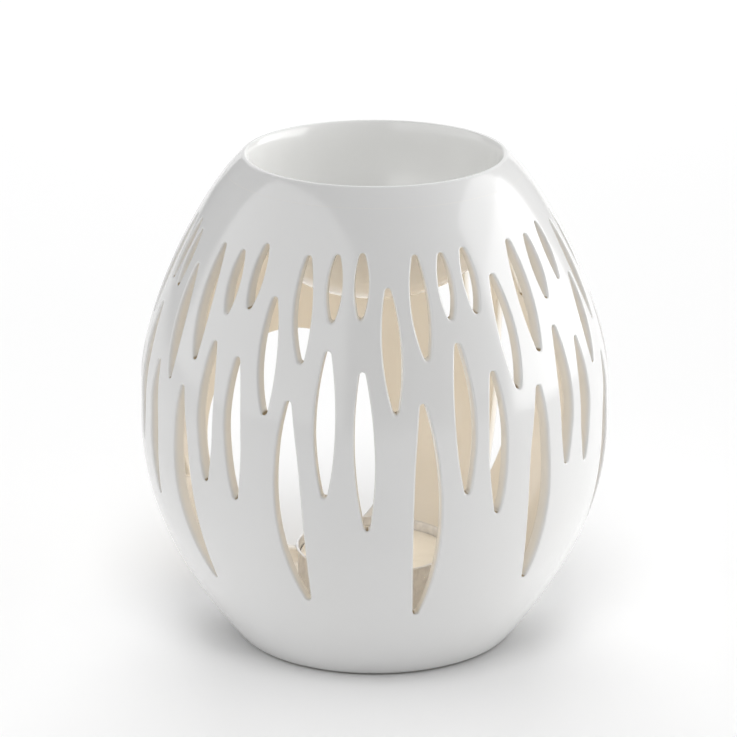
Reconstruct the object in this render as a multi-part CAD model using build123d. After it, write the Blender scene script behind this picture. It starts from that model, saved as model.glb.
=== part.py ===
from build123d import *
import os
from math import cos, degrees, radians, sin

os.makedirs("parts", exist_ok=True)

# All lengths are in millimetres. The origin is the centre of the foot on the ground, +Z is up,
# and the opening for the tealight faces +Y.

# Driving dimensions of the body
body_height = 116.8
max_radius = 55.0
belly_height = 61.7
foot_radius = 32.6
foot_lean = 39.5
lip_lean = 48.0
wall = 3.0
floor_thickness = 5.0
floor_fillet = 4.0
foot_fillet = 2.5
foot_ring_width = 6.5
foot_recess = 1.5

# Driving dimensions of the bowl in the mouth
mouth_radius = 28.85
lip_radius = 1.25
bowl_wall = 2.6
bowl_depth = 29.7
seat_drop = 4.0
luting_gap = 0.15

# Driving dimensions of the opening at the back
opening_width = 50.4
opening_height = 52.0
opening_sill = 7.1
plain_margin = 12.0
bridge = 7.0

# Driving dimensions of the tealight
seat_gap = 0.2
cup_radius = 19.0
cup_height = 15.0
cup_wall = 0.4
cup_corner = 1.6
rim_width = 0.6
wax_height = 12.5
wax_bevel = 0.5
wax_gap = 0.1
wick_radius = 0.8
wick_proud = 8.0
wick_gap = 0.05
tab_radius = 6.0
tab_thickness = 0.4
neck_radius = 1.7
neck_height = 3.0

# One overrun serves every cut
overrun = 2.0

# The bowl's floor curve, as a share of its depth
bowl_curve_share = 0.754

# Handles of the outline's two curves. The first is a share of the spread from foot to belly, and
# the others are shares of each curve's height.
foot_handle_share = 1.799
under_belly_handle_share = 0.166
over_belly_handle_share = 0.333
lip_handle_share = 0.219

# The leaf pattern repeats round the body. Each leaf has its place along the repeat, its foot and
# tip as shares of the body's height, and its bows to left and right as shares of the repeat's
# length along the belly.
repeats = 11
first_leaf_angle = -12.6
leaf_shares = {
    "long": (0.0, 0.20, 0.62, 0.150, 0.065),
    "middle": (0.257, 0.44, 0.72, 0.083, 0.083),
    "centre": (0.547, 0.39, 0.67, 0.080, 0.080),
    "upper": (0.758, 0.61, 0.817, 0.077, 0.075),
    "high": (0.021, 0.685, 0.882, 0.086, 0.062),
    "short": (0.263, 0.77, 0.887, 0.062, 0.062),
    "small": (0.50, 0.776, 0.891, 0.055, 0.062),
}

# The leaves are cut by hand, so some wander from the pattern. Each has its shift and its lean as
# shares of the repeat, the changes of its foot and tip as shares of the height, and whether it
# bows the other way.
wander_shares = {
    ("long", 0): (-0.037, 0.0, -0.026, 0.005, True),
    ("long", 1): (-0.027, 0.035, 0.016, 0.005, False),
    ("long", 9): (0.046, 0.12, 0.005, -0.014, False),
    ("long", 10): (0.027, 0.08, 0.005, 0.004, False),
    ("middle", 0): (0.034, 0.015, 0.0, 0.009, False),
    ("middle", 1): (-0.015, -0.04, 0.010, 0.0, False),
    ("middle", 7): (0.0, 0.0, -0.17, 0.0, False),
    ("middle", 9): (0.0, 0.028, -0.008, -0.014, False),
    ("centre", 1): (-0.043, -0.04, 0.047, 0.014, False),
    ("centre", 8): (0.012, 0.0, -0.041, -0.042, False),
    ("centre", 9): (-0.021, 0.049, 0.020, 0.018, False),
    ("centre", 10): (0.0, 0.037, -0.015, 0.015, False),
    ("upper", 0): (-0.009, 0.018, 0.018, 0.021, False),
    ("upper", 1): (0.025, -0.09, 0.007, -0.028, False),
    ("upper", 8): (-0.028, 0.10, -0.004, 0.004, False),
    ("upper", 9): (0.009, 0.053, -0.018, -0.012, False),
    ("upper", 10): (0.0, 0.038, -0.003, 0.015, False),
    ("high", 0): (0.003, 0.02, 0.017, 0.005, False),
    ("high", 1): (0.028, -0.03, 0.0, 0.006, False),
    ("high", 9): (-0.006, 0.085, -0.024, -0.009, False),
    ("high", 10): (0.0, 0.052, 0.009, 0.0, False),
    ("short", 1): (0.058, -0.04, 0.0, 0.0, False),
    ("short", 9): (0.0, 0.035, -0.013, -0.015, False),
    ("small", 1): (0.110, -0.045, 0.015, 0.006, False),
    ("small", 8): (-0.061, 0.025, -0.010, -0.018, False),
}
no_wander_shares = (0.0, 0.0, 0.0, 0.0, False)

# Sizes worked out from the driving dimensions
seat_height = body_height - seat_drop
lip_centre = Vector(mouth_radius + lip_radius, body_height - lip_radius)
bowl_floor = body_height - bowl_depth
bowl_curve = bowl_depth * bowl_curve_share
repeat_angle = 360 / repeats
repeat_length = radians(repeat_angle) * max_radius
opening_centre = opening_sill + opening_height / 2
opening_top = opening_sill + opening_height
cup_base = floor_thickness + seat_gap
cup_floor = cup_base + cup_wall
cup_rim = cup_base + cup_height
wax_top = cup_floor + wax_height


def body_outline(inset):
    """The outline's two curves, foot to belly and belly to lip, moved inwards by inset."""
    foot_way = Vector(sin(radians(foot_lean)), cos(radians(foot_lean)))
    lip_way = Vector(-sin(radians(lip_lean)), cos(radians(lip_lean)))
    lip_out = Vector(cos(radians(lip_lean)), sin(radians(lip_lean)))
    up = Vector(0, 1)
    foot = Vector(foot_radius, 0) + Vector(-foot_way.Y, foot_way.X) * inset
    belly = Vector(max_radius - inset, belly_height)
    lip = lip_centre + lip_out * (lip_radius - inset)
    spread = belly.X - foot.X
    low = belly.Y - foot.Y
    high = lip.Y - belly.Y
    low_curve = Bezier(
        foot, foot + foot_way * (spread * foot_handle_share),
        belly - up * (low * under_belly_handle_share), belly,
    )
    high_curve = Bezier(
        belly, belly + up * (high * over_belly_handle_share),
        lip - lip_way * (high * lip_handle_share), lip,
    )
    return low_curve, high_curve


def turned(*edges):
    """The solid that an outline sweeps round the axis, closed by level lines to the axis."""
    start = edges[0] @ 0
    end = edges[-1] @ 1
    top = Line(end, (0, end.Y))
    core = Line((0, end.Y), (0, start.Y))
    base = Line((0, start.Y), start)
    return revolve(Plane.XZ * make_face([*edges, top, core, base]), axis=Axis.Z)


def disc(radius, bottom, top):
    """A round plate, plug or hole on the axis."""
    standing = (Align.CENTER, Align.CENTER, Align.MIN)
    return Pos(0, 0, bottom) * Cylinder(radius, top - bottom, align=standing)


def filled_body():
    """The body's outer form without its hollows, from the foot to the crown of the lip."""
    crown = CenterArc(lip_centre, lip_radius, lip_lean, 90 - lip_lean)
    return turned(*body_outline(0), crown)


def facing(angle):
    """The upright plane through the axis that looks outwards at an angle from -Y towards +X."""
    turn = radians(angle)
    return Plane(origin=(0, 0, 0), x_dir=(cos(turn), sin(turn), 0), z_dir=(sin(turn), -cos(turn), 0))


def opening_cut():
    """The nearly round opening for the tealight, cut level through the back of the wall."""
    outline = Pos(0, opening_centre) * Ellipse(opening_width / 2, opening_height / 2)
    return extrude(facing(180) * outline, amount=max_radius + overrun)


def leaf_cut(angle, foot, tip, left_bow, right_bow, lean):
    """One leaf, drawn as two arcs that meet in points, and cut straight in towards the axis."""
    foot_point = (lean / 2, foot)
    tip_point = (-lean / 2, tip)
    middle = (foot + tip) / 2
    left_edge = ThreePointArc(foot_point, (-left_bow, middle), tip_point)
    right_edge = ThreePointArc(tip_point, (right_bow, middle), foot_point)
    outer_plane = facing(angle).offset(max_radius + overrun)
    return extrude(outer_plane * make_face([left_edge, right_edge]), amount=mouth_radius - max_radius)


def leaf_cuts():
    """Every leaf of the pattern, apart from those that would meet the opening or its margin."""
    margin_angle = degrees((opening_width / 2 + plain_margin) / max_radius)
    cuts = []
    for repeat in range(repeats):
        for name, (place, foot, tip, left, right) in leaf_shares.items():
            wander = wander_shares.get((name, repeat), no_wander_shares)
            shift, lean, foot_change, tip_change, mirrored = wander
            angle = (first_leaf_angle + (repeat + place + shift) * repeat_angle) % 360
            foot_height = (foot + foot_change) * body_height
            tip_height = (tip + tip_change) * body_height
            beside_opening = abs(angle - 180) < margin_angle
            if beside_opening and foot_height < opening_top + bridge:
                continue
            bows = (right, left) if mirrored else (left, right)
            left_bow, right_bow = (bow * repeat_length for bow in bows)
            cuts.append(
                leaf_cut(angle, foot_height, tip_height, left_bow, right_bow, lean * repeat_length)
            )
    return cuts


def pierced_shell():
    """The cast shell: foot, floor and thin wall, pierced by the leaves and the opening."""
    body = filled_body()
    ground_edge = body.edges().sort_by(Axis.Z)[0]
    body = fillet(ground_edge, foot_fillet)
    low_curve, high_curve = body_outline(wall)
    hollow = split(turned(low_curve, high_curve), Plane.XY.offset(floor_thickness), Keep.TOP)
    hollow = fillet(hollow.edges().sort_by(Axis.Z)[0], floor_fillet)
    foot_flat = body.faces().sort_by(Axis.Z)[0]
    recess_radius = foot_flat.bounding_box().max.X - foot_ring_width
    recess = disc(recess_radius, 0, foot_recess)
    mouth = disc(mouth_radius + bowl_wall + luting_gap, seat_height - wall - overrun, seat_height)
    above_seat = disc(max_radius, seat_height, body_height + overrun)
    return body - [hollow, recess, mouth, above_seat, opening_cut(), *leaf_cuts()]


def oil_bowl():
    """The cup for water and oil, with the flange and rolled lip that close the mouth."""
    flange = split(filled_body(), Plane.XY.offset(seat_height), Keep.TOP)
    outer_radius = mouth_radius + bowl_wall
    outer_curve = bowl_curve + bowl_wall
    under = CenterArc(
        (outer_radius - outer_curve, bowl_floor + bowl_curve), outer_curve, -90, 90
    )
    cup = turned(under, Line(under @ 1, (outer_radius, seat_height)))
    inside = CenterArc((mouth_radius - bowl_curve, bowl_floor + bowl_curve), bowl_curve, -90, 90)
    side = Line(inside @ 1, (mouth_radius, lip_centre.Y))
    lip_round = CenterArc(lip_centre, lip_radius, 180, -90)
    return flange + cup - turned(inside, side, lip_round)


def tealight_cup():
    """The thin metal cup, with a rounded base corner and a turned-out rim."""
    body = disc(cup_radius - rim_width, cup_base, cup_rim)
    body = fillet(body.edges().sort_by(Axis.Z)[0], cup_corner)
    rim = disc(cup_radius, cup_rim - cup_wall, cup_rim)
    inside = disc(cup_radius - rim_width - cup_wall, cup_floor, cup_rim)
    inside = fillet(inside.edges().sort_by(Axis.Z)[0], cup_corner - cup_wall)
    return body + rim - inside


def tealight_wax():
    """The wax, bevelled clear of the cup's corner, with room for the wick and its tab."""
    wax = disc(cup_radius - rim_width - cup_wall - wax_gap, cup_floor, wax_top)
    wax = chamfer(wax.edges().sort_by(Axis.Z)[0], cup_corner - cup_wall)
    wax = chamfer(wax.edges().sort_by(Axis.Z)[-1], wax_bevel)
    tab_room = disc(tab_radius + wax_gap, cup_floor, cup_floor + tab_thickness)
    neck_room = disc(neck_radius + wax_gap, cup_floor, cup_floor + neck_height)
    wick_room = disc(wick_radius + wick_gap, cup_floor, wax_top)
    return wax - [tab_room, neck_room, wick_room]


def wick():
    """The wick, from the cup's floor through the tab and the wax, with a worn tip."""
    cord = disc(wick_radius, cup_floor, wax_top + wick_proud)
    return chamfer(cord.edges().sort_by(Axis.Z)[-1], wick_radius / 2)


def wick_tab():
    """The stamped foot that holds the wick upright: a plate with a short neck."""
    plate = disc(tab_radius, cup_floor, cup_floor + tab_thickness)
    neck = disc(neck_radius, cup_floor, cup_floor + neck_height)
    return plate + neck - disc(wick_radius + wick_gap, cup_floor, cup_floor + neck_height)


for make in (pierced_shell, oil_bowl, tealight_cup, tealight_wax, wick, wick_tab):
    export_step(make(), f"parts/{make.__name__}.step")
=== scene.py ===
# %% [markdown]
# # An essential oil burner
# The burner is a thin ceramic egg with its top cut off. A bowl for water and oil closes the
# mouth, leaves are cut through the wall so that candle light shines out, and a large opening at
# the back lets a tealight slide in under the bowl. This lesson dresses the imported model: it builds
# finer pieces over the solids, mixes their finishes, and sets up the light and the camera.
#
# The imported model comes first. It is the fixed frame, so every piece is placed by its sizes.

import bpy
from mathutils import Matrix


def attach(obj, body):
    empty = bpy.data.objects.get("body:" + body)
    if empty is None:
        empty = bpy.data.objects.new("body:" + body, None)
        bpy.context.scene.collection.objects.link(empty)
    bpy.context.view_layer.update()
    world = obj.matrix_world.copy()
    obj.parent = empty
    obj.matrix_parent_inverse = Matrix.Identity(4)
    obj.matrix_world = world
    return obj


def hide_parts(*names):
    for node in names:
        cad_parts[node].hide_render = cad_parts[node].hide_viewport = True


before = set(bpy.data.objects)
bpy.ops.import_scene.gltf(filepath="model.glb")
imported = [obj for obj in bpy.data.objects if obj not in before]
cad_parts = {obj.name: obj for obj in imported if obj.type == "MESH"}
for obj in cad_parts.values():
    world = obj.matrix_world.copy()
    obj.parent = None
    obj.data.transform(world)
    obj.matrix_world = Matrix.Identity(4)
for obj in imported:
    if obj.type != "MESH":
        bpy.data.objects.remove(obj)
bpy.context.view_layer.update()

# %% Bring in the tools
from math import asin, atan2, ceil, cos, degrees, hypot, pi, radians, sin, sqrt

import bmesh
import bpy
import numpy as np
from mathutils import Matrix, Vector
from mathutils.geometry import interpolate_bezier, intersect_sphere_sphere_2d
print("Blender", bpy.app.version_string)

# %% [markdown]
# ## The camera
# The photograph was taken from a little above, with a long lens that flattens the egg. The camera
# comes first because everything else is judged through it. A long lens from further off gives the
# same flat look as in a catalogue, and a small shift puts the egg where the picture has it.

# %% Place the camera
axis_point = Vector((0, 0, 0.0584))
camera_distance = 0.850
camera_azimuth, camera_elevation = radians(-25.0), radians(18.507)
lens_length, sensor_size = 176.0, 36.0
shift_right, shift_up = -0.0086, 0.0318

back = Vector((
    sin(camera_azimuth) * cos(camera_elevation),
    -cos(camera_azimuth) * cos(camera_elevation),
    sin(camera_elevation),
))
lens = bpy.data.cameras.new("camera")
lens.lens, lens.sensor_width = lens_length, sensor_size
lens.shift_x, lens.shift_y = shift_right, shift_up
lens.clip_start, lens.clip_end = 0.01, 50.0
camera = bpy.data.objects.new("camera", lens)
camera.location = axis_point + back * camera_distance
camera.rotation_euler = back.to_track_quat("Z", "Y").to_euler()
bpy.context.scene.collection.objects.link(camera)
bpy.context.scene.camera = camera
print("camera at", tuple(round(x, 4) for x in camera.location))

# %% [markdown]
# ## The outline of the egg
# The burner is round, so its whole form is one outline: from the foot out to the belly in one
# curve, and from the belly in to the lip in another. Both are Bezier curves, and the lengths of
# their handles are shares of the curve's own spread or height. The inner face of the wall is the
# same outline moved in by the wall's thickness, with a small round where it meets the floor. All
# modelling is done in millimetres, and each finished piece is scaled to metres.

# %% Sizes of the burner, in millimetres
body_height, belly_radius, belly_height = 116.8, 55.0, 61.7
foot_radius, foot_lean, lip_lean = 32.6, radians(39.5), radians(48.0)
wall, floor_top, floor_round, foot_round = 3.0, 5.0, 4.0, 2.5
foot_ring_width, foot_recess = 6.5, 1.5
mouth_radius, lip_radius = 28.85, 1.25
bowl_wall, bowl_depth, bowl_curve = 2.6, 29.7, 22.4
seat_height, socket_radius = 112.8, 31.6
foot_handle_share, under_belly_handle_share = 1.799, 0.166
over_belly_handle_share, lip_handle_share = 0.333, 0.219
lip_centre = Vector((mouth_radius + lip_radius, body_height - lip_radius))
print("body", body_height, "high and", 2 * belly_radius, "across")

# %% Draw the outline
def outline(inset, steps=240):
    """Points (radius, height) of the wall's outline from foot to lip, moved inwards by inset."""
    foot_way = Vector((sin(foot_lean), cos(foot_lean)))
    lip_way = Vector((-sin(lip_lean), cos(lip_lean)))
    lip_out = Vector((cos(lip_lean), sin(lip_lean)))
    up = Vector((0, 1))
    foot = Vector((foot_radius, 0)) + Vector((-foot_way.y, foot_way.x)) * inset
    belly = Vector((belly_radius - inset, belly_height))
    lip = lip_centre + lip_out * (lip_radius - inset)
    spread, low, high = belly.x - foot.x, belly.y - foot.y, lip.y - belly.y
    lower = interpolate_bezier(
        foot, foot + foot_way * spread * foot_handle_share,
        belly - up * low * under_belly_handle_share, belly, steps,
    )
    upper = interpolate_bezier(
        belly, belly + up * high * over_belly_handle_share,
        lip - lip_way * high * lip_handle_share, lip, steps,
    )
    return [(p[0], p[1]) for p in [*lower, *upper[1:]]]


def arc(centre, radius, start, end, steps):
    """Points (radius, height) along part of a circle, between two angles in degrees."""
    turns = [radians(start + (end - start) * i / steps) for i in range(steps + 1)]
    return [(centre[0] + radius * cos(a), centre[1] + radius * sin(a)) for a in turns]


# %% Find the outer and the inner face
corner_reach = floor_round * sin((pi / 2 - foot_lean) / 2) / cos((pi / 2 - foot_lean) / 2)
plain_inner = outline(wall)
floor_edge = float(np.interp(floor_top, [p[1] for p in plain_inner], [p[0] for p in plain_inner]))
floor_corner = (floor_edge - corner_reach, floor_top + floor_round)
inner_round = arc(floor_corner, floor_round, -90, -degrees(foot_lean), 10)
inner_line = inner_round + [p for p in plain_inner if p[1] > inner_round[-1][1] + 0.1]
outer_line = outline(0)
outer_radii, outer_heights = np.array(outer_line).T
inner_radii, inner_heights = np.array(inner_line).T


def outer_radius(height):
    """The outer face's radius at a height."""
    return float(np.interp(height, outer_heights, outer_radii))


def inner_radius(height):
    """The inner face's radius at a height."""
    return float(np.interp(height, inner_heights, inner_radii))


print("belly radius", round(max(outer_radii), 2), "floor radius", round(floor_edge, 2))

# %% [markdown]
# ## The leaves
# Each leaf is drawn as two arcs that meet in points, and seven leaves repeat eleven times round
# the egg. The potter cuts them by hand in the damp clay, so many wander a little: the table says
# which. Leaves that would meet the opening at the back are left out.
#
# A wall with seventy holes is hard to cut cleanly on a curved form, because every cut leaves
# ragged faces that spoil a gloss. It is easier flat. The wall is laid out as a flat sheet, the
# leaves are drawn in it with their softened edges, the rest of the sheet is filled in between
# them, and then the sheet is rolled round the axis.

# %% The pattern, as shares of the height and of one repeat along the belly
no_wander_shares = (0.0, 0.0, 0.0, 0.0, False)
repeats, first_leaf_angle = 11, radians(-12.6)
repeat_angle = 2 * pi / repeats
repeat_length = repeat_angle * belly_radius
leaf_shares = {
    "long": (0.0, 0.20, 0.62, 0.150, 0.065),
    "middle": (0.257, 0.44, 0.72, 0.083, 0.083),
    "centre": (0.547, 0.39, 0.67, 0.080, 0.080),
    "upper": (0.758, 0.61, 0.817, 0.077, 0.075),
    "high": (0.021, 0.685, 0.882, 0.086, 0.062),
    "short": (0.263, 0.77, 0.887, 0.062, 0.062),
    "small": (0.50, 0.776, 0.891, 0.055, 0.062),
}
wander_shares = {
    ("long", 0): (-0.037, 0.0, -0.026, 0.005, True),
    ("long", 1): (-0.027, 0.035, 0.016, 0.005, False),
    ("long", 9): (0.046, 0.12, 0.005, -0.014, False),
    ("long", 10): (0.027, 0.08, 0.005, 0.004, False),
    ("middle", 0): (0.034, 0.015, 0.0, 0.009, False),
    ("middle", 1): (-0.015, -0.04, 0.010, 0.0, False),
    ("middle", 7): (0.0, 0.0, -0.17, 0.0, False),
    ("middle", 9): (0.0, 0.028, -0.008, -0.014, False),
    ("centre", 1): (-0.043, -0.04, 0.047, 0.014, False),
    ("centre", 8): (0.012, 0.0, -0.041, -0.042, False),
    ("centre", 9): (-0.021, 0.049, 0.020, 0.018, False),
    ("centre", 10): (0.0, 0.037, -0.015, 0.015, False),
    ("upper", 0): (-0.009, 0.018, 0.018, 0.021, False),
    ("upper", 1): (0.025, -0.09, 0.007, -0.028, False),
    ("upper", 8): (-0.028, 0.10, -0.004, 0.004, False),
    ("upper", 9): (0.009, 0.053, -0.018, -0.012, False),
    ("upper", 10): (0.0, 0.038, -0.003, 0.015, False),
    ("high", 0): (0.003, 0.02, 0.017, 0.005, False),
    ("high", 1): (0.028, -0.03, 0.0, 0.006, False),
    ("high", 9): (-0.006, 0.085, -0.024, -0.009, False),
    ("high", 10): (0.0, 0.052, 0.009, 0.0, False),
    ("short", 1): (0.058, -0.04, 0.0, 0.0, False),
    ("short", 9): (0.0, 0.035, -0.013, -0.015, False),
    ("small", 1): (0.110, -0.045, 0.015, 0.006, False),
    ("small", 8): (-0.061, 0.025, -0.010, -0.018, False),
}
opening_width, opening_height, opening_sill = 50.4, 52.0, 7.1
plain_margin, bridge = 12.0, 7.0
opening_centre = opening_sill + opening_height / 2
print(len(leaf_shares), "leaves in", repeats, "repeats, of which", len(wander_shares), "wander")

# %% Place the leaves
def leaf_places():
    """The angle, foot, tip, left bow, right bow and lean of every leaf that is cut."""
    margin = (opening_width / 2 + plain_margin) / belly_radius
    for repeat in range(repeats):
        for name, (place, foot, tip, left, right) in leaf_shares.items():
            wander = wander_shares.get((name, repeat), no_wander_shares)
            shift, lean, foot_change, tip_change, mirrored = wander
            angle = (first_leaf_angle + (repeat + place + shift) * repeat_angle) % (2 * pi)
            low, high = (foot + foot_change) * body_height, (tip + tip_change) * body_height
            if abs(angle - pi) < margin and low < opening_sill + opening_height + bridge:
                continue
            bows = (right, left) if mirrored else (left, right)
            left_bow, right_bow = (bow * repeat_length for bow in bows)
            yield angle, low, high, left_bow, right_bow, lean * repeat_length


leaves = list(leaf_places())
print("leaves:", len(leaves))

# %% [markdown]
# ### One leaf's edge
# Glaze draws back from a sharp corner and leaves it round, so each hole has a softened edge. It
# also lies on the cut sides and gathers in the points, so a glazed leaf is a little narrower than
# the cut one and its ends are blunt. The leaf is drawn in the plane that touches the belly. A
# vertex swings round four centres, up one side, over the tip, down the other side and round the
# foot, and leaves a closed line. The long sides are arcs that aim past the blunt ends, as far as
# it takes for the ends to stay where the cut has them. Insets that go a little deeper each time
# then round the edge, like a quarter circle.

# %% Find the arcs of a leaf's long sides
rim_round, tip_round, glaze_coat = 0.5, 0.7, 0.2
rim_steps, leaf_step = 3, 1.5
outer_skin = wall / 2
hair, weld_gap = 0.001, 0.003


def arc_centre(a, b, c):
    """The centre of the circle through three points of a flat drawing."""
    ab, ac = b - a, c - a
    twice = 2 * (ab.x * ac.y - ab.y * ac.x)
    across = ac.y * ab.length_squared - ab.y * ac.length_squared
    along = ab.x * ac.length_squared - ac.x * ab.length_squared
    return a + Vector((across, along)) / twice


def point_room(half_length, bow):
    """How far past its blunt end a leaf's long sides would meet."""
    to_round = (half_length - tip_round) ** 2 + bow**2 - tip_round**2
    reach = to_round / (2 * (bow - tip_round))
    return sqrt(2 * reach * bow - bow**2) - half_length


print("rims rounded by", rim_round, "and tips by", tip_round)

# %% Draw and soften an edge
least_steps = 6


def swing(bm, vertex, centre, end):
    """Swings a vertex round a centre to an end point, leaving a chain of edges behind it."""
    start, stop = vertex.co.xy - centre, end - centre
    angle = atan2(start.x * stop.y - start.y * stop.x, start.dot(stop))
    steps = max(least_steps, ceil(abs(angle) * start.length / leaf_step))
    chain = bmesh.ops.spin(
        bm, geom=[vertex], cent=(*centre, 0), axis=(0, 0, 1), angle=angle, steps=steps
    )
    return next(v for v in chain["geom_last"] if isinstance(v, bmesh.types.BMVert))


def soften(bm, face):
    """Rounds a hole's edge into the wall, takes it down to the wall's middle and opens it."""
    turns = [pi / 2 * i / rim_steps for i in range(rim_steps + 1)]
    for before, after in zip(turns, turns[1:]):
        inwards = rim_round * (sin(after) - sin(before))
        down = rim_round * (cos(before) - cos(after))
        bmesh.ops.inset_individual(
            bm, faces=[face], thickness=inwards, depth=-down, use_even_offset=True
        )
    bmesh.ops.inset_individual(bm, faces=[face], thickness=0, depth=rim_round - outer_skin)
    bmesh.ops.delete(bm, geom=[face], context="FACES_ONLY")


def hole_face(bm):
    """Fills the closed line just drawn with one face that looks out of the wall."""
    bmesh.ops.remove_doubles(bm, verts=bm.verts, dist=hair)
    bmesh.ops.translate(bm, verts=bm.verts, vec=(0, 0, outer_skin))
    face = bmesh.ops.contextual_create(bm, geom=bm.edges[:])["faces"][0]
    face.normal_update()
    if face.normal.z < 0:
        bmesh.ops.reverse_faces(bm, faces=[face])
    return face


print("edges round off in", rim_steps, "steps")

# %% Draw a leaf and the opening
opening_segments = 128


def draw_leaf(bm, low, high, left_bow, right_bow, lean):
    """Draws one leaf, X across and Y up, and softens its edge."""
    middle, half_length = (low + high) / 2, (high - low) / 2
    room = point_room(half_length, (left_bow + right_bow) / 2 - glaze_coat)
    lean_out = lean / 2 * (1 + room / half_length)
    foot = Vector((lean_out, low - room))
    tip = Vector((-lean_out, high + room))
    left = arc_centre(foot, Vector((glaze_coat - left_bow, middle)), tip)
    right = arc_centre(foot, Vector((right_bow - glaze_coat, middle)), tip)
    left_reach, right_reach = (tip - left).length, (tip - right).length
    ends = intersect_sphere_sphere_2d(left, left_reach - tip_round, right, right_reach - tip_round)
    bottom, top = sorted(ends, key=lambda end: end.y)

    def beyond(centre, reach, end):
        return centre + (end - centre).normalized() * (reach + rim_round)

    first = beyond(left, left_reach, bottom)
    vertex = bmesh.ops.create_vert(bm, co=(*first, 0))["vert"][0]
    vertex = swing(bm, vertex, left, beyond(left, left_reach, top))
    vertex = swing(bm, vertex, top, beyond(right, right_reach, top))
    vertex = swing(bm, vertex, right, beyond(right, right_reach, bottom))
    swing(bm, vertex, bottom, first)
    soften(bm, hole_face(bm))


def draw_opening(bm):
    """Draws the nearly round opening at the back, and softens its edge."""
    bmesh.ops.create_circle(bm, segments=opening_segments, radius=1)
    size = (opening_width / 2 + rim_round, opening_height / 2 + rim_round, 1)
    bmesh.ops.scale(bm, verts=bm.verts, vec=size)
    bmesh.ops.translate(bm, verts=bm.verts, vec=(0, opening_centre, 0))
    soften(bm, hole_face(bm))


print("opening", opening_width, "by", opening_height)

# %% [markdown]
# ### The flat sheet
# The sheet is as long as the belly is round. It is parted at an angle where a straight line from
# foot to lip meets no leaf. Each softened edge is drawn on its own and copied in, with its width
# opened out as the egg narrows, so that a leaf on the shoulder keeps its real size.

# %% Lay the holes out on the sheet
seam_angle = radians(147.2) - 2 * pi
band_low, band_high = 6.0, 107.0
columns, row_step = 192, 1.8


def copy_in(sheet, bm, angle):
    """Moves a drawn hole to its angle on the sheet, and copies it into the sheet."""
    if angle > seam_angle + 2 * pi:
        angle -= 2 * pi
    for v in bm.verts:
        v.co.x = belly_radius * (angle + asin(v.co.x / outer_radius(v.co.y)))
    carrier = bpy.data.meshes.new("carrier")
    bm.to_mesh(carrier)
    bm.free()
    sheet.from_mesh(carrier)
    bpy.data.meshes.remove(carrier)


sheet = bmesh.new()
for angle, *shape in leaves:
    leaf = bmesh.new()
    draw_leaf(leaf, *shape)
    copy_in(sheet, leaf, angle)
opening = bmesh.new()
draw_opening(opening)
copy_in(sheet, opening, pi)
print("edges of holes laid out:", len(leaves) + 1, "with", len(sheet.verts), "vertices")

# %% Fill the sheet between the holes
corners = [
    (belly_radius * (seam_angle + 2 * pi * right), height, outer_skin)
    for right, height in ((0, band_low), (1, band_low), (1, band_high), (0, band_high))
]
frame_verts = [sheet.verts.new(c) for c in corners]
for i, vertex in enumerate(frame_verts):
    sheet.edges.new((vertex, frame_verts[i - 1]))
borders = [
    e for e in sheet.edges
    if len(e.link_faces) < 2 and all(v.co.z > outer_skin - hair for v in e.verts)
]
filled = bmesh.ops.triangle_fill(sheet, use_beauty=True, edges=borders, normal=(0, 0, 1))
skin = [g for g in filled["geom"] if isinstance(g, bmesh.types.BMFace)]
print("faces between the holes:", len(skin))

# %% [markdown]
# The fill has long thin faces, which would stay flat when the sheet is rolled. Straight cuts up
# and along the sheet part them into small cells, and the slanting edges left inside the cells are
# dissolved, so that most of the sheet is a neat grid. Those at the sheet's own four corners stay,
# because a corner left with two edges would be dissolved with them.

# %% Part the sheet into a grid
cut_reach = 0.0005


def part(geom, place, way):
    """Cuts the fill along one straight line and returns the fill with its new parts."""
    return bmesh.ops.bisect_plane(
        sheet, geom=geom, dist=cut_reach, plane_co=place, plane_no=way
    )["geom"]


skin_edges = {e for f in skin for e in f.edges}
skin_verts = {v for f in skin for v in f.verts}
geom = [*skin_verts, *skin_edges, *skin]
column_width = 2 * pi * belly_radius / columns
rows = round((band_high - band_low) / row_step)
for column in range(1, columns):
    geom = part(geom, (belly_radius * seam_angle + column * column_width, 0, 0), (1, 0, 0))
for row in range(1, rows):
    geom = part(geom, (0, band_low + (band_high - band_low) * row / rows, 0), (0, 1, 0))
skin = {g for g in geom if isinstance(g, bmesh.types.BMFace)}
slanting = [
    e for e in geom
    if isinstance(e, bmesh.types.BMEdge)
    and len(e.link_faces) == 2
    and all(f in skin for f in e.link_faces)
    and not any(v in frame_verts for v in e.verts)
    and min(abs(e.verts[0].co.x - e.verts[1].co.x), abs(e.verts[0].co.y - e.verts[1].co.y)) > hair
]
bmesh.ops.dissolve_edges(sheet, edges=slanting, use_verts=True)
print("grid of", columns, "by", rows, "with", len(sheet.faces), "faces")

# %% [markdown]
# ### Rolling the sheet
# The sheet is the outer half of the wall. Its mirror image is the inner half, with the same soft
# edges on the inside. Rolling turns the distance along the sheet into an angle, and the depth in
# the wall into a place between the outer and the inner outline. The leaves were cut level, so the
# height of a point stays as it is. The large opening was cut straight in from the back, so its
# sides run level with each other, and the roll lets the points near it slide to follow. Three
# layers go along with the points: how deep each lies in the wall, whether it lies on a skin, and
# how near it lies to a leaf's foot on the cut sides, where dark brown spots are put.

# %% Mirror the sheet
bmesh.ops.mirror(
    sheet, geom=[*sheet.verts, *sheet.edges, *sheet.faces],
    matrix=Matrix.Identity(4), merge_dist=hair, axis="Z",
)
depth_layer = sheet.verts.layers.float.new("depth")
skin_layer = sheet.verts.layers.float.new("skin")
leaf_foot_spot_layer = sheet.verts.layers.float.new("leaf_foot_spot")
print("mirrored to", len(sheet.faces), "faces")

# %% Roll the sheet
level_end, level_fade, sill_fade = 1.25, 0.2, 3.0


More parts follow.
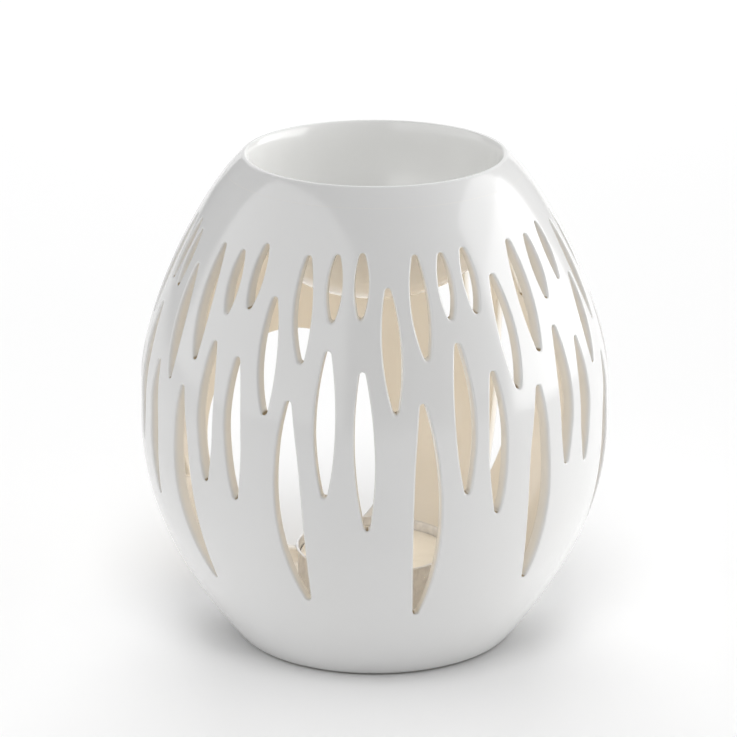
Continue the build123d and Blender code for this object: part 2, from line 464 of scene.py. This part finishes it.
def rolled(points):
    """Flat points (along, up, through) rolled round the axis, with their depth in the wall."""
    along, up, through = points.T
    angle = along / belly_radius
    depth = 0.5 - through / wall
    outer = np.interp(up, outer_heights, outer_radii)
    inner = np.interp(up, inner_heights, inner_radii)
    radius = outer + (inner - outer) * depth
    off_back = (angle + 2 * pi) % (2 * pi) - pi
    across = outer * np.sin(off_back)
    away = np.hypot(across / (opening_width / 2), (up - opening_centre) / (opening_height / 2))
    level = np.clip((level_end - away) / level_fade, 0, 1) * (np.abs(off_back) < pi / 3)
    level = level * np.clip((up - band_low) / sill_fade, 0, 1)
    slide = np.arcsin(np.clip(across / radius, -1, 1)) - off_back
    angle = angle + level * slide
    return np.column_stack([radius * np.sin(angle), -radius * np.cos(angle), up]), depth


leaf_foot_spot_reach, skin_room = 1.5, 0.2


def leaf_foot_spot_mask(points):
    """Goes to 1 on the cut sides at the very foot of each leaf, where the dark brown spots go."""
    along, up, through = points.T
    found = np.zeros(len(points))
    for angle, low, _, _, _, lean in leaves:
        turn = (along / belly_radius - angle + pi) % (2 * pi) - pi
        across = np.interp(up, outer_heights, outer_radii) * turn - lean / 2
        found = np.maximum(found, 1 - np.hypot(across, up - low) / leaf_foot_spot_reach)
    return found * (np.abs(through) < outer_skin - skin_room)


flat = np.array([v.co for v in sheet.verts])
places, depths = rolled(flat)
for v, place, depth, leaf_foot_spot in zip(sheet.verts, places, depths, leaf_foot_spot_mask(flat)):
    v.co = place
    v[depth_layer] = depth
    v[leaf_foot_spot_layer] = leaf_foot_spot
    v[skin_layer] = 1.0 if depth < hair else -1.0 if depth > 1 - hair else 0.0
print("rolled", len(sheet.verts), "points")

# %% [markdown]
# ### Foot, floor and seat
# Below and above the pierced band the egg is plain, so there its outline is simply spun. The foot
# has a rounded edge and stands on a flat ring, with a shallow recess inside it, and at the top a
# flat seat carries the bowl. The spin has as many steps as the sheet has columns, so that the
# vertices meet and merge.

# %% Thin an outline and spin it
def thinned(line, low, high, spacing):
    """The points of an outline between two heights, at an even spacing, both ends included."""
    count = max(2, round((high - low) / spacing))
    radii, heights = np.array(line).T
    return [
        (float(np.interp(z, heights, radii)), z) for z in np.linspace(low, high, count + 1).tolist()
    ]


def spin_profile(bm, profile, steps, start=0.0):
    """Spins a chain of (radius, height) points once round the axis and returns its vertices."""
    known = set(bm.verts)
    chain = [bm.verts.new((r * sin(start), -r * cos(start), z)) for r, z in profile]
    links = [bm.edges.new(pair) for pair in zip(chain, chain[1:])]
    bmesh.ops.spin(
        bm, geom=[*chain, *links], cent=(0, 0, 0), axis=(0, 0, 1),
        angle=2 * pi, steps=steps, use_merge=True,
    )
    return [v for v in bm.verts if v not in known]


print("plain parts spin in", columns, "steps")

# %% Draw the lines of the foot, the floor and the seat
foot_reach = foot_round * sin((pi / 2 - foot_lean) / 2) / cos((pi / 2 - foot_lean) / 2)
foot_flat = foot_radius - foot_reach
ring_inner = foot_flat - foot_ring_width
ring_edge = 0.4
foot_arc = arc((foot_flat, foot_round), foot_round, -90, -degrees(foot_lean), 8)
foot_line = [
    (0, foot_recess), (ring_inner * 0.33, foot_recess), (ring_inner * 0.67, foot_recess),
    (ring_inner - 1.5, foot_recess),
    *arc((ring_inner - ring_edge, foot_recess - ring_edge), ring_edge, 90, 0, 3),
    *arc((ring_inner + ring_edge, ring_edge), ring_edge, 180, 270, 3),
    (ring_inner + 2, 0), (ring_inner + 4.3, 0),
    *foot_arc,
    *thinned(outer_line, foot_arc[-1][1] + 0.8, band_low, 1.0),
]
floor_line = [
    (0, floor_top), (floor_corner[0] * 0.2, floor_top), (floor_corner[0] * 0.4, floor_top),
    (floor_corner[0] * 0.6, floor_top), (floor_corner[0] * 0.8, floor_top),
    *[p for p in inner_round if p[1] < band_low - 0.05],
    (inner_radius(band_low), band_low),
]
inner_neck = [(z, r) for r, z in plain_inner if z > band_high]
bore_foot = min(z for z, r in inner_neck if r < socket_radius)
seat_line = [
    *thinned(outer_line, band_high, seat_height - 0.05, 1.4),
    (outer_radius(seat_height), seat_height), (socket_radius, seat_height),
    *thinned(plain_inner, band_high, bore_foot, 1.6)[::-1],
]
print("foot", len(foot_line), "points, floor", len(floor_line), "and seat", len(seat_line))

# %% Spin the plain parts
for v in spin_profile(sheet, foot_line, columns, seam_angle):
    v[depth_layer] = 0.0
for v in spin_profile(sheet, floor_line, columns, seam_angle):
    v[depth_layer] = 1.0
for v in spin_profile(sheet, seat_line, columns, seam_angle):
    inside = hypot(v.co.x, v.co.y) < outer_radius(v.co.z) - 0.5
    v[depth_layer] = 1.0 if inside else 0.0
bmesh.ops.remove_doubles(sheet, verts=sheet.verts, dist=weld_gap)
open_edges = [e for e in sheet.edges if len(e.link_faces) != 2]
print("shell:", len(sheet.faces), "faces, open edges:", len(open_edges))

# %% [markdown]
# ### Finishing a piece
# Every piece ends the same way: its faces are made to look outwards, it is scaled to metres,
# shaded smooth with crisp corners where the form turns sharply, and tied to its body and its node;
# its finish is put on later. On the rolled skins the true direction of the egg's surface is known,
# so it is given to the mesh, and reflections then run over the grid without a ripple.

# %% Finish a piece
pieces = []


def finish(bm, name, body, nodes, crease=40.0):
    """Makes an object of a mesh drawn in millimetres, and ties it to what it stands for."""
    bmesh.ops.recalc_face_normals(bm, faces=bm.faces)
    bmesh.ops.scale(bm, verts=bm.verts, vec=(0.001, 0.001, 0.001))
    mesh = bpy.data.meshes.new(name)
    bm.to_mesh(mesh)
    bm.free()
    mesh.polygons.foreach_set("use_smooth", [True] * len(mesh.polygons))
    mesh.set_sharp_from_angle(angle=radians(crease))
    piece = bpy.data.objects.new(name, mesh)
    bpy.context.scene.collection.objects.link(piece)
    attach(piece, body)
    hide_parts(*nodes)
    pieces.append(piece)
    mesh.calc_loop_triangles()
    print(name, len(mesh.loop_triangles), "triangles")
    return piece


def skin_normals(mesh):
    """The egg's own directions for the vertices on its rolled skins, and none for the others."""
    marks = np.zeros(len(mesh.vertices), np.float32)
    mesh.attributes["skin"].data.foreach_get("value", marks)
    co = np.zeros(len(mesh.vertices) * 3, np.float32)
    mesh.vertices.foreach_get("co", co)
    x, y, z = co.reshape(-1, 3).T * 1000
    found = np.zeros((len(marks), 3))
    around = np.maximum(np.hypot(x, y), 0.001)
    for side, radii, heights in ((1, outer_radii, outer_heights), (-1, inner_radii, inner_heights)):
        slope = np.interp(z, heights, np.gradient(radii, heights))
        length = np.hypot(1, slope)
        normal = np.column_stack([x / around / length, y / around / length, -slope / length])
        found = np.where((marks == side)[:, None], normal * side, found)
    return found.tolist()


shell = finish(sheet, "pierced_shell_glazed", "burner", ["pierced_shell"])
shell.data.normals_split_custom_set_from_vertices(skin_normals(shell.data))

# %% [markdown]
# ## The bowl
# The bowl and its rolled lip were cast as one and luted into the mouth, and the glaze hides the
# joint. Its outline runs along the curved floor, up the side and over the lip, then back along
# the underside. Thick glaze softens the lip's inner edge, so there a quarter of an ellipse takes
# the place of the quarter circle. One spin makes the bowl whole.

# %% Draw the bowl's outline
lip_turn, soft_drop = degrees(lip_lean), 4.5
floor_height = body_height - bowl_depth
curve_centre = (mouth_radius - bowl_curve, floor_height + bowl_curve)
lip_start = (lip_centre.x + lip_radius * cos(lip_lean), lip_centre.y + lip_radius * sin(lip_lean))
inner_lip = [
    (r, body_height - soft_drop * (body_height - z) / lip_radius)
    for r, z in arc(lip_centre, lip_radius, 180, 90, 14)
]
bowl_line = [
    (0, floor_height), (curve_centre[0] / 2, floor_height),
    *arc(curve_centre, bowl_curve, -90, 0, 24),
    *inner_lip,
    *arc(lip_centre, lip_radius, 90, lip_turn, 8)[1:],
    *thinned(outer_line, seat_height + 0.05, lip_start[1] - 0.3, 0.6)[::-1],
    (outer_radius(seat_height), seat_height),
    (mouth_radius + bowl_wall, seat_height),
    *arc(curve_centre, bowl_curve + bowl_wall, 0, -90, 24),
    (curve_centre[0] / 2, floor_height - bowl_wall), (0, floor_height - bowl_wall),
]


def is_under(radius, height):
    """Whether a point of the bowl's outline lies on the underside, within the egg."""
    if height > curve_centre[1]:
        return radius > mouth_radius + bowl_wall / 2 and height < seat_height + 0.01
    sideways = max(radius - curve_centre[0], 0)
    return hypot(sideways, height - curve_centre[1]) > bowl_curve + bowl_wall / 2


print("bowl outline:", len(bowl_line), "points")

# %% Spin the bowl
bowl_mesh = bmesh.new()
bowl_depth_layer = bowl_mesh.verts.layers.float.new("depth")
basin_layer = bowl_mesh.verts.layers.float.new("basin")
for v in spin_profile(bowl_mesh, bowl_line, 256):
    radius, height = hypot(v.co.x, v.co.y), v.co.z
    v[bowl_depth_layer] = float(is_under(radius, height))
    v[basin_layer] = float(radius < lip_centre.x and not is_under(radius, height))
bmesh.ops.remove_doubles(bowl_mesh, verts=bowl_mesh.verts, dist=weld_gap)
bowl = finish(bowl_mesh, "oil_bowl_glazed", "burner", ["oil_bowl"])

# %% [markdown]
# ## The tealight
# A tealight is a thin pressed cup of aluminium with a rolled rim, filled with wax. Its cotton wick
# stands in a stamped tab on the cup's floor. The cup and the wax are spun, and the wick is three
# strands, each a small circle that climbs while it turns.

# %% Spin the cup
cup_radius, cup_base, cup_height, cup_wall, cup_corner, rim_width = 19.0, 5.2, 15.0, 0.4, 1.6, 0.6
cup_side = cup_radius - rim_width
cup_rim = cup_base + cup_height
bead = 0.3
cup_line = [
    (0, cup_base + 0.25), (cup_side * 0.55, cup_base + 0.25), (cup_side * 0.6, cup_base),
    *arc((cup_side - cup_corner, cup_base + cup_corner), cup_corner, -90, 0, 8),
    (cup_side, cup_rim - 2 * bead - 0.2), (cup_side + 0.05, cup_rim - 2 * bead),
    *arc((cup_radius - bead, cup_rim - bead), bead, -90, 110, 8),
    (cup_side - 0.15, cup_rim - 0.15), (cup_side - cup_wall, cup_rim - 0.9),
    (cup_side - cup_wall, cup_base + cup_corner),
    *arc((cup_side - cup_corner, cup_base + cup_corner), cup_corner - cup_wall, 0, -90, 6)[1:],
    (cup_side * 0.5, cup_base + cup_wall), (0, cup_base + cup_wall),
]
cup_mesh = bmesh.new()
spin_profile(cup_mesh, cup_line, 96)
bmesh.ops.remove_doubles(cup_mesh, verts=cup_mesh.verts, dist=weld_gap)
cup = finish(cup_mesh, "tealight_cup_pressed", "tealight", ["tealight_cup"])

# %% Spin the wax
wax_height, wax_gap = 12.5, 0.1
wick_hole, neck_hole, tab_hole = 0.84, 1.9, 6.2
wax_radius = cup_side - cup_wall - wax_gap
wax_base = cup_base + cup_wall
wax_top = wax_base + wax_height
wax_line = [
    (wick_hole, wax_base + 3.1), (wick_hole, wax_top + 0.3),
    (1.0, wax_top + 0.15), (1.4, wax_top - 0.05),
    (2.2, wax_top - 0.2), (5, wax_top - 0.3), (10, wax_top - 0.3), (14, wax_top - 0.2),
    (16.4, wax_top - 0.05), (wax_radius - 0.5, wax_top), (wax_radius - 0.15, wax_top - 0.1),
    (wax_radius, wax_top - 0.4), (wax_radius, wax_base + 1.3), (wax_radius - 1.2, wax_base + 0.05),
    (tab_hole, wax_base + 0.05), (tab_hole, wax_base + 0.5),
    (neck_hole, wax_base + 0.5), (neck_hole, wax_base + 3.1), (wick_hole, wax_base + 3.1),
]
wax_mesh = bmesh.new()
spin_profile(wax_mesh, wax_line, 96)
bmesh.ops.remove_doubles(wax_mesh, verts=wax_mesh.verts, dist=weld_gap)
wax = finish(wax_mesh, "tealight_wax_poured", "tealight", ["tealight_wax"])

# %% Twist the wick
wick_radius, strand_radius, wick_pitch, wick_proud = 0.8, 0.42, 4.0, 8.0
strands, steps_per_turn = 3, 16
wick_length = wax_top + wick_proud - wax_base
wick_mesh = bmesh.new()
for strand in range(strands):
    ring = bmesh.ops.create_circle(wick_mesh, cap_ends=True, segments=12, radius=strand_radius)
    bmesh.ops.translate(wick_mesh, verts=ring["verts"], vec=(wick_radius - strand_radius, 0, wax_base))
    turn = Matrix.Rotation(strand * 2 * pi / strands, 3, "Z")
    bmesh.ops.rotate(wick_mesh, verts=ring["verts"], cent=(0, 0, 0), matrix=turn)
    steps = round(wick_length / wick_pitch * steps_per_turn)
    ends = {f for v in ring["verts"] for f in v.link_faces}
    edges = {e for v in ring["verts"] for e in v.link_edges}
    bmesh.ops.spin(
        wick_mesh, geom=[*ring["verts"], *edges, *ends], cent=(0, 0, 0), axis=(0, 0, 1),
        dvec=(0, 0, wick_length / steps), angle=2 * pi * wick_length / wick_pitch, steps=steps,
    )
wick = finish(wick_mesh, "wick_twisted", "tealight", ["wick"], crease=60.0)

# %% [markdown]
# ## The finishes
# A finish is a small network of nodes. Written as plain Python, it reads like a sum: the class
# below wraps one socket, and adding or multiplying two of them adds the Math node. Any other node
# comes from its one method.

# %% A socket that can be reckoned with
class Wire:
    """One output of a finish's nodes, which can be added, subtracted and multiplied."""

    def __init__(self, tree, socket=None):
        self.tree, self.socket = tree, socket

    def node(self, kind, settings=None, inputs=None, output=0):
        """Adds a node, with its settings first and then the values or wires of its inputs."""
        made = self.tree.nodes.new(kind)
        settings = dict(settings or {})
        stops = settings.pop("stops", ())
        for name, value in settings.items():
            setattr(made, name, value)
        for i, (place, shade) in enumerate(stops):
            ramp = made.color_ramp.elements
            stop = ramp[i] if i < len(ramp) else ramp.new(place)
            stop.position, stop.color = place, shade
        for name, value in (inputs or {}).items():
            if isinstance(value, Wire):
                self.tree.links.new(value.socket, made.inputs[name])
            else:
                made.inputs[name].default_value = value
        return Wire(self.tree, made.outputs[output])

    def reckon(self, operation, a, b=0.0):
        """A Math node."""
        return self.node("ShaderNodeMath", {"operation": operation}, {0: a, 1: b})

    def __add__(self, other):
        return self.reckon("ADD", self, other)

    def __sub__(self, other):
        return self.reckon("SUBTRACT", self, other)

    def __rsub__(self, other):
        return self.reckon("SUBTRACT", other, self)

    def __mul__(self, other):
        return self.reckon("MULTIPLY", self, other)

    __radd__, __rmul__ = __add__, __mul__

    def between(self, low, high):
        """Goes smoothly from 0 at low to 1 at high."""
        return self.node(
            "ShaderNodeMapRange", {"interpolation_type": "SMOOTHSTEP"},
            {"Value": self, "From Min": low, "From Max": high},
        )

    def blend(self, first, second):
        """A colour that goes from the first to the second as this goes from 0 to 1."""
        return self.node("ShaderNodeMix", {"data_type": "RGBA"}, {0: self, 6: first, 7: second}, 2)

    def noise(self, scale, detail=2.0, roughness=0.5):
        """A cloudy pattern over these coordinates, from 0 to 1."""
        return self.node(
            "ShaderNodeTexNoise", {},
            {"Vector": self, "Scale": scale, "Detail": detail, "Roughness": roughness},
        )


def new_finish(name):
    """A material, its Principled shader, and wires for the place on the object."""
    material = bpy.data.materials.new(name)
    material.use_nodes = True
    tree = material.node_tree
    start = Wire(tree)
    place = start.node("ShaderNodeTexCoord", {}, {}, "Object")
    return material, tree.nodes["Principled BSDF"], place


def connect(shader, **sockets):
    """Sets or links sockets of a shader, named with _ for a space."""
    for name, value in sockets.items():
        socket = shader.inputs[name.replace("_", " ")]
        if isinstance(value, Wire):
            value.tree.links.new(value.socket, socket)
        else:
            socket.default_value = value


def wear(piece, material):
    """Puts a finish on a piece."""
    piece.data.materials.clear()
    piece.data.materials.append(material)


print("finish tools ready")

# %% [markdown]
# ### White glaze
# The glaze is bright and clear over a white body. Outside it is a cool white. Inside the egg the
# colour is painted a warmer cream, painted light that stands for the light passing from wall to
# wall, and the depth stored on the sheet tells the two apart. The bowl's inside is painted a little
# brighter, painted light that stands for the light that reaches into it.
# The surface is not quite even: it swells a little over some centimetres, which bends reflections
# softly, and here and there it has a pinhole. Dark brown spots are put on the cut sides at the
# feet of the leaves. The foot ring is wiped clean of glaze before firing, so it is dull and a
# little darker.

# %% Mix the white glaze
cool_white = (0.82, 0.82, 0.815, 1)
# painted light: the bowl's inside is painted brighter than its outside, standing for the light that
# reaches into it
bowl_white_painted_light = (0.94, 0.94, 0.925, 1)
# painted light: this warm cream is painted inside the egg, standing for light passing from wall to
# wall
cream_painted_light = (0.92, 0.88, 0.81, 1)
cloudy_white = (0.79, 0.785, 0.77, 1)
bare_clay = (0.70, 0.66, 0.59, 1)
pinhole_grey = (0.42, 0.40, 0.37, 1)
dark_brown_spot = (0.33, 0.25, 0.14, 1)


def white_glaze(name):
    """The glaze of the shell and the bowl."""
    material, shader, place = new_finish(name)
    depth = place.node("ShaderNodeAttribute", {"attribute_name": "depth"}, {}, "Fac")
    basin = place.node("ShaderNodeAttribute", {"attribute_name": "basin"}, {}, "Fac")
    leaf_foot_spot = place.node("ShaderNodeAttribute", {"attribute_name": "leaf_foot_spot"}, {}, "Fac")
    height = place.node("ShaderNodeSeparateXYZ", {}, {0: place}, "Z")
    clouds = place.noise(24.0)
    swell = place.noise(38.0, detail=1.0)
    peel = place.noise(900.0, detail=2.0)
    cells = place.node("ShaderNodeTexVoronoi", {}, {"Vector": place, "Scale": 90.0}, "Distance")
    chance = place.node("ShaderNodeTexVoronoi", {}, {"Vector": place, "Scale": 90.0}, "Color")
    rare = chance.between(0.90, 0.93)
    pinhole = (1 - cells.between(0.010, 0.024)) * rare
    # dark brown spots on the cut sides at the feet of the leaves, where the mask from the sheet is
    # high
    leaf_foot_spots = (leaf_foot_spot + place.noise(160.0) * 2.2).between(1.75, 2.1)
    # painted light: depth paints the inside of the egg and the bowl's underside a warm cream
    inside = depth.between(0.02, 0.5)
    foot_ring = 1 - height.between(0.00005, 0.00035)
    # painted light: basin paints the bowl's inside brighter
    body = inside.blend(basin.blend(cool_white, bowl_white_painted_light), cream_painted_light)
    tinted = (clouds.between(0.35, 0.75) * 0.35).blend(body, cloudy_white)
    spotted = leaf_foot_spots.blend(pinhole.blend(tinted, pinhole_grey), dark_brown_spot)
    colour = foot_ring.blend(spotted, bare_clay)
    gloss = 0.10 + clouds * 0.06 + foot_ring * 0.50 + leaf_foot_spots * 0.4
    relief = swell * 1.8 + peel * 0.004 - pinhole * 0.12
    bump = place.node(
        "ShaderNodeBump", {}, {"Height": relief, "Strength": 0.35, "Distance": 0.0006}
    )
    connect(shader, Base_Color=colour, Roughness=gloss, Normal=bump, IOR=1.58)
    return material


wear(shell, white_glaze("white_glaze"))
wear(bowl, white_glaze("white_glaze_bowl"))
print("white glaze on", shell.name, "and", bowl.name)

# %% [markdown]
# ### Tealight finishes
# Aluminium foil pressed into a cup has fine wrinkles that run up its side. Wax is soft and a
# little cloudy, cotton is matt, and the tab is plain brushed steel.

# %% Mix the foil
def pressed_foil():
    """Aluminium with wrinkles up the side."""
    material, shader, place = new_finish("pressed_foil")
    x, y, z = (place.node("ShaderNodeSeparateXYZ", {}, {0: place}, axis) for axis in "XYZ")
    around = place.reckon("ARCTAN2", y, x)
    strip = place.node("ShaderNodeCombineXYZ", {}, {"X": around * 9.0, "Y": z * 60.0})
    wrinkles = strip.noise(2.0, detail=3.0)
    scuffs = place.noise(700.0, detail=4.0)
    bump = place.node(
        "ShaderNodeBump", {}, {"Height": wrinkles, "Strength": 0.5, "Distance": 0.0004}
    )
    tone = scuffs.between(0.3, 0.8).blend((0.83, 0.83, 0.84, 1), (0.72, 0.72, 0.74, 1))
    connect(shader, Base_Color=tone, Metallic=1.0, Roughness=0.22 + scuffs * 0.2, Normal=bump)
    return material


wear(cup, pressed_foil())
print("foil on", cup.name)

# %% Mix the wax and the cotton
def poured_wax():
    """White wax with a faint bloom."""
    material, shader, place = new_finish("poured_wax")
    bloom = place.noise(180.0, detail=4.0)
    ripple = place.noise(60.0, detail=1.0)
    tone = bloom.between(0.35, 0.7).blend((0.86, 0.84, 0.79, 1), (0.80, 0.78, 0.73, 1))
    bump = place.node(
        "ShaderNodeBump", {}, {"Height": ripple + bloom * 0.2, "Strength": 0.3, "Distance": 0.0006}
    )
    connect(shader, Base_Color=tone, Roughness=0.38 + bloom * 0.2, Normal=bump)
    return material


def waxed_cotton():
    """Cotton yarn stiffened with wax."""
    material, shader, place = new_finish("waxed_cotton")
    fibres = place.noise(2600.0, detail=3.0)
    tone = fibres.between(0.3, 0.7).blend((0.74, 0.71, 0.63, 1), (0.86, 0.84, 0.78, 1))
    bump = place.node("ShaderNodeBump", {}, {"Height": fibres, "Strength": 0.6, "Distance": 0.0001})
    connect(shader, Base_Color=tone, Roughness=0.75 + fibres * 0.15, Normal=bump)
    return material


wear(wax, poured_wax())
wear(wick, waxed_cotton())
print("wax on", wax.name, "and cotton on", wick.name)

# %% Mix the steel
def brushed_steel():
    """Tinned steel with fine marks of the press."""
    material, shader, place = new_finish("brushed_steel")
    stretched = place.node("ShaderNodeMapping", {}, {"Vector": place, "Scale": (1.0, 14.0, 1.0)})
    marks = stretched.noise(500.0, detail=3.0)
    tone = marks.between(0.3, 0.7).blend((0.60, 0.60, 0.61, 1), (0.50, 0.50, 0.52, 1))
    bump = place.node("ShaderNodeBump", {}, {"Height": marks, "Strength": 0.2, "Distance": 0.0001})
    connect(shader, Base_Color=tone, Metallic=1.0, Roughness=0.3 + marks * 0.15, Normal=bump)
    return material


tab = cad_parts["wick_tab"]
tab_steel = brushed_steel()
for held in tab.material_slots:
    held.material = tab_steel
if not tab.material_slots:
    tab.data.materials.append(tab_steel)
print("finishes:", sorted(m.name for m in bpy.data.materials if m.users))

# %% [markdown]
# ## The floor and the light
# The photograph has a plain white sweep and soft light from large boxes. The floor is one large
# pale sheet. A catalogue lights its paper apart from the ware, so that the paper comes out white
# and keeps only the soft shadow under the egg.

# %% Lay the floor
floor_mesh = bmesh.new()
bmesh.ops.create_grid(floor_mesh, x_segments=2, y_segments=2, size=6.0)
floor_data = bpy.data.meshes.new("floor")
floor_mesh.to_mesh(floor_data)
floor_mesh.free()
floor = bpy.data.objects.new("floor", floor_data)
bpy.context.scene.collection.objects.link(floor)
paper, _, paper_place = new_finish("pale_paper")
fibres = paper_place.noise(3.0)
paper_tone = fibres.blend((0.89, 0.89, 0.89, 1), (0.87, 0.87, 0.87, 1))
matt = paper_place.node("ShaderNodeBsdfDiffuse", {}, {"Color": paper_tone}, "BSDF")
paper.node_tree.links.new(matt.socket, paper.node_tree.nodes["Material Output"].inputs["Surface"])
wear(floor, paper)
print("floor laid with", paper.name)

# %% [markdown]
# The glaze mirrors what stands round it, and its reflections say where the lights were. A wide
# pale screen stood on the left, and its edge shows in the glaze of the shoulder. Brighter boxes
# stood on the right, and weaker ones behind. A panel's power is its brightness times its area, so
# each panel is given by its brightness. Each one lights either the burner or the paper. Two cards
# are only there to be mirrored in the glaze, the box above is kept out of it, and a small warm
# lamp hidden in the egg stands for the light that the catalogue's picture has in there.

# %% Set the world and what each light reaches
scene = bpy.context.scene
scene.view_settings.view_transform = "Standard"
world = bpy.data.worlds.new("studio")
world.use_nodes = True
world.node_tree.nodes["Background"].inputs["Color"].default_value = (1, 1, 1, 1)
world.node_tree.nodes["Background"].inputs["Strength"].default_value = 0.30
scene.world = world

burner_lit = bpy.data.collections.new("lit with the burner")
paper_lit = bpy.data.collections.new("lit with the paper")
paper_lit.objects.link(floor)
for piece in [*pieces, tab]:
    burner_lit.objects.link(piece)

# %% Make a light
def hang(name, data, place, lit):
    """Puts a light in its place and says what it lights."""
    light = bpy.data.objects.new(name, data)
    light.location = place
    light.light_linking.receiver_collection = lit
    scene.collection.objects.link(light)
    return light


def panel(name, azimuth, elevation, distance, size, brightness, aim=0.06, lit=burner_lit):
    """A flat soft light that faces the axis at the height aim, from a direction round it."""
    data = bpy.data.lights.new(name, "AREA")
    data.shape = "RECTANGLE"
    data.size, data.size_y = size
    data.energy = brightness * pi * size[0] * size[1]
    a, e = radians(azimuth), radians(elevation)
    way = Vector((sin(a) * cos(e), -cos(a) * cos(e), sin(e)))
    light = hang(name, data, Vector((0, 0, aim)) + way * distance, lit)
    light.rotation_euler = way.to_track_quat("Z", "Y").to_euler()
    return light


print("light tools ready")

# %% Light the burner
panel("screen_left", -90, 0, 1.0, (2.4, 1.6), 0.42, aim=0.82)
panel("box_right", 75, 0, 1.2, (1.39, 1.3), 1.2, aim=0.67)
card_left = panel("card_left", -90, 0, 0.99, (2.4, 1.6), 0.9, aim=0.82)
card_right = panel("card_right", 75, 0, 1.19, (1.39, 1.3), 0.7, aim=0.67)
card_left.visible_diffuse = card_right.visible_diffuse = False
panel("low_right", 75, 0, 0.7, (0.9, 0.5), 1.8, aim=0.26)
panel("sweep_back", 155, 0, 1.5, (1.2, 1.6), 0.75, aim=0.82)
panel("high_back", 155, 45, 1.5, (2.0, 1.0), 0.6)
box_above = panel("box_above", -25, 85, 1.6, (1.2, 1.2), 1.2)
box_above.visible_glossy = False

# %% Light the paper
panel("paper_above", -25, 89, 1.5, (1.0, 1.0), 1.75, lit=paper_lit)
panel("paper_front", -25, 58, 1.5, (0.6, 0.6), 7.1, lit=paper_lit)
panel("paper_left", -115, 30, 1.5, (1.0, 1.0), 1.1, lit=paper_lit)
panel("paper_right", 65, 30, 1.5, (1.0, 1.0), 0.7, lit=paper_lit)
panel("paper_back", 155, 35, 1.5, (1.0, 1.0), 3.1, lit=paper_lit)

print("paper lit")

# %% Hide a warm lamp in the egg
warm_lamp = bpy.data.lights.new("hidden_lamp", "POINT")
warm_lamp.energy, warm_lamp.color, warm_lamp.shadow_soft_size = 0.017, (1.0, 0.86, 0.68), 0.012
hidden_lamp = hang("hidden_lamp", warm_lamp, (0, 0, 0.052), burner_lit)
hidden_lamp.visible_camera = hidden_lamp.visible_glossy = False
print("lights hung")
